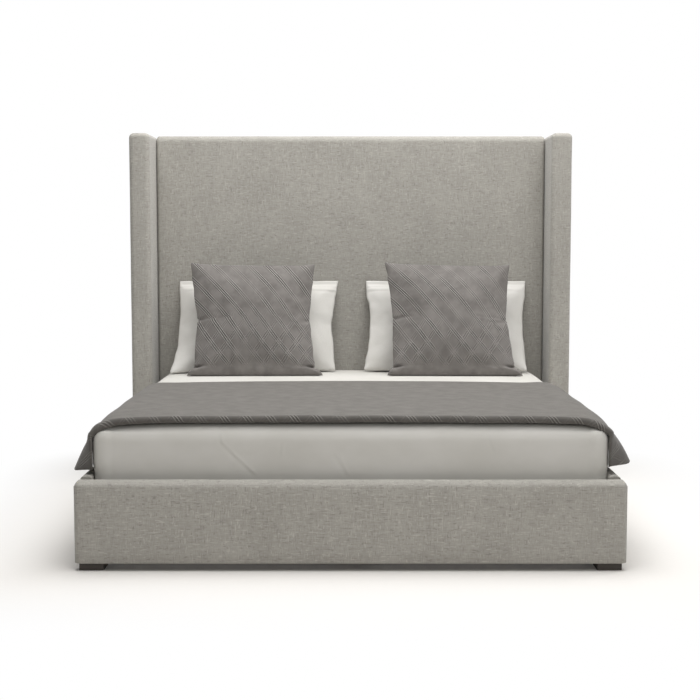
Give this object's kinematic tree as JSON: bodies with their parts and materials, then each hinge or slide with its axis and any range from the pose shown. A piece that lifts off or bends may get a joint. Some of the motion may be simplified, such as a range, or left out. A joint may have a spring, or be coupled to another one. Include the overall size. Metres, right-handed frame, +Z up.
{
  "type": "upholstered bed",
  "caption": "Upholstered king-size bed with a tall winged headboard, padded rails, low feet, slats, mattress, throw, pillows and cushions.",
  "frame": {"origin": "on the floor at the centre of the bed's footprint, the bottom centre of its bounding box", "axes": "+X to the right as seen from the foot of the bed, +Y towards the headboard, +Z up"},
  "size_m": [2.244, 2.21, 1.765],
  "materials": {
    "cover_fabric": "matte",
    "bedding_fabric": "matte",
    "sheet_fabric": "matte",
    "pillow_fabric": "matte",
    "mattress_fabric": "matte",
    "back_cloth": "matte",
    "foam": "matte",
    "timber": "matte",
    "plywood": "matte",
    "dark_wood": "satin",
    "webbing": "matte",
    "steel": "satin",
    "black_steel": "satin"
  },
  "bodies": {
    "bed_frame": {"footboard_board": "timber", "footboard_foam": "foam", "footboard_cover": "cover_fabric", "headboard_stiles": "timber", "headboard_rails": "timber", "headboard_studs": "timber", "headboard_face_board": "plywood", "headboard_base_board": "timber", "headboard_foam": "foam", "headboard_cover": "cover_fabric", "headboard_back_cloth": "back_cloth", "side_rail_left_board": "timber", "side_rail_left_foam": "foam", "side_rail_left_cover": "cover_fabric", "wing_left_board": "timber", "wing_left_foam": "foam", "wing_left_cover": "cover_fabric", "foot_front_left": "dark_wood", "foot_rear_left": "dark_wood", "slat_ledger_left": "timber", "side_rail_right_board": "timber", "side_rail_right_foam": "foam", "side_rail_right_cover": "cover_fabric", "wing_right_board": "timber", "wing_right_foam": "foam", "wing_right_cover": "cover_fabric", "foot_front_right": "dark_wood", "foot_rear_right": "dark_wood", "slat_ledger_right": "timber", "rail_bolts": "steel", "wing_bolts": "steel", "rail_brackets": "black_steel", "slats": "plywood", "slat_ribbons": "webbing", "center_beam": "timber", "beam_hanger_foot": "black_steel", "beam_hanger_head": "black_steel", "center_leg_1": "dark_wood", "center_leg_2": "dark_wood", "center_leg_3": "dark_wood"},
    "glide_1": {"center_leg_glide_1": "steel"},
    "glide_2": {"center_leg_glide_2": "steel"},
    "glide_3": {"center_leg_glide_3": "steel"},
    "mattress": {"mattress": "mattress_fabric", "fitted_sheet": "sheet_fabric"},
    "throw": {"throw": "bedding_fabric"},
    "pillow_left": {"pillow_left": "pillow_fabric"},
    "pillow_right": {"pillow_right": "pillow_fabric"},
    "cushion_left": {"cushion_left": "bedding_fabric"},
    "cushion_right": {"cushion_right": "bedding_fabric"}
  },
  "joints": [
    {"name": "glide_1_screw", "type": "slide", "parent": "bed_frame", "child": "glide_1", "axis": [0, 0, -1], "range_m": [0, 0.012]},
    {"name": "glide_2_screw", "type": "slide", "parent": "bed_frame", "child": "glide_2", "axis": [0, 0, -1], "range_m": [0, 0.012]},
    {"name": "glide_3_screw", "type": "slide", "parent": "bed_frame", "child": "glide_3", "axis": [0, 0, -1], "range_m": [0, 0.012]},
    {"name": "mattress_lift", "type": "slide", "parent": "bed_frame", "child": "mattress", "axis": [0, 0, 1], "range_m": [0, 0.35]},
    {"name": "throw_lift", "type": "slide", "parent": "mattress", "child": "throw", "axis": [0, 0, 1], "range_m": [0, 0.25]},
    {"name": "pillow_left_lift", "type": "slide", "parent": "mattress", "child": "pillow_left", "axis": [0, 0, 1], "range_m": [0, 0.3]},
    {"name": "pillow_right_lift", "type": "slide", "parent": "mattress", "child": "pillow_right", "axis": [0, 0, 1], "range_m": [0, 0.3]},
    {"name": "cushion_left_lift", "type": "slide", "parent": "pillow_left", "child": "cushion_left", "axis": [0, 0, 1], "range_m": [0, 0.35]},
    {"name": "cushion_right_lift", "type": "slide", "parent": "pillow_right", "child": "cushion_right", "axis": [0, 0, 1], "range_m": [0, 0.35]}
  ]
}
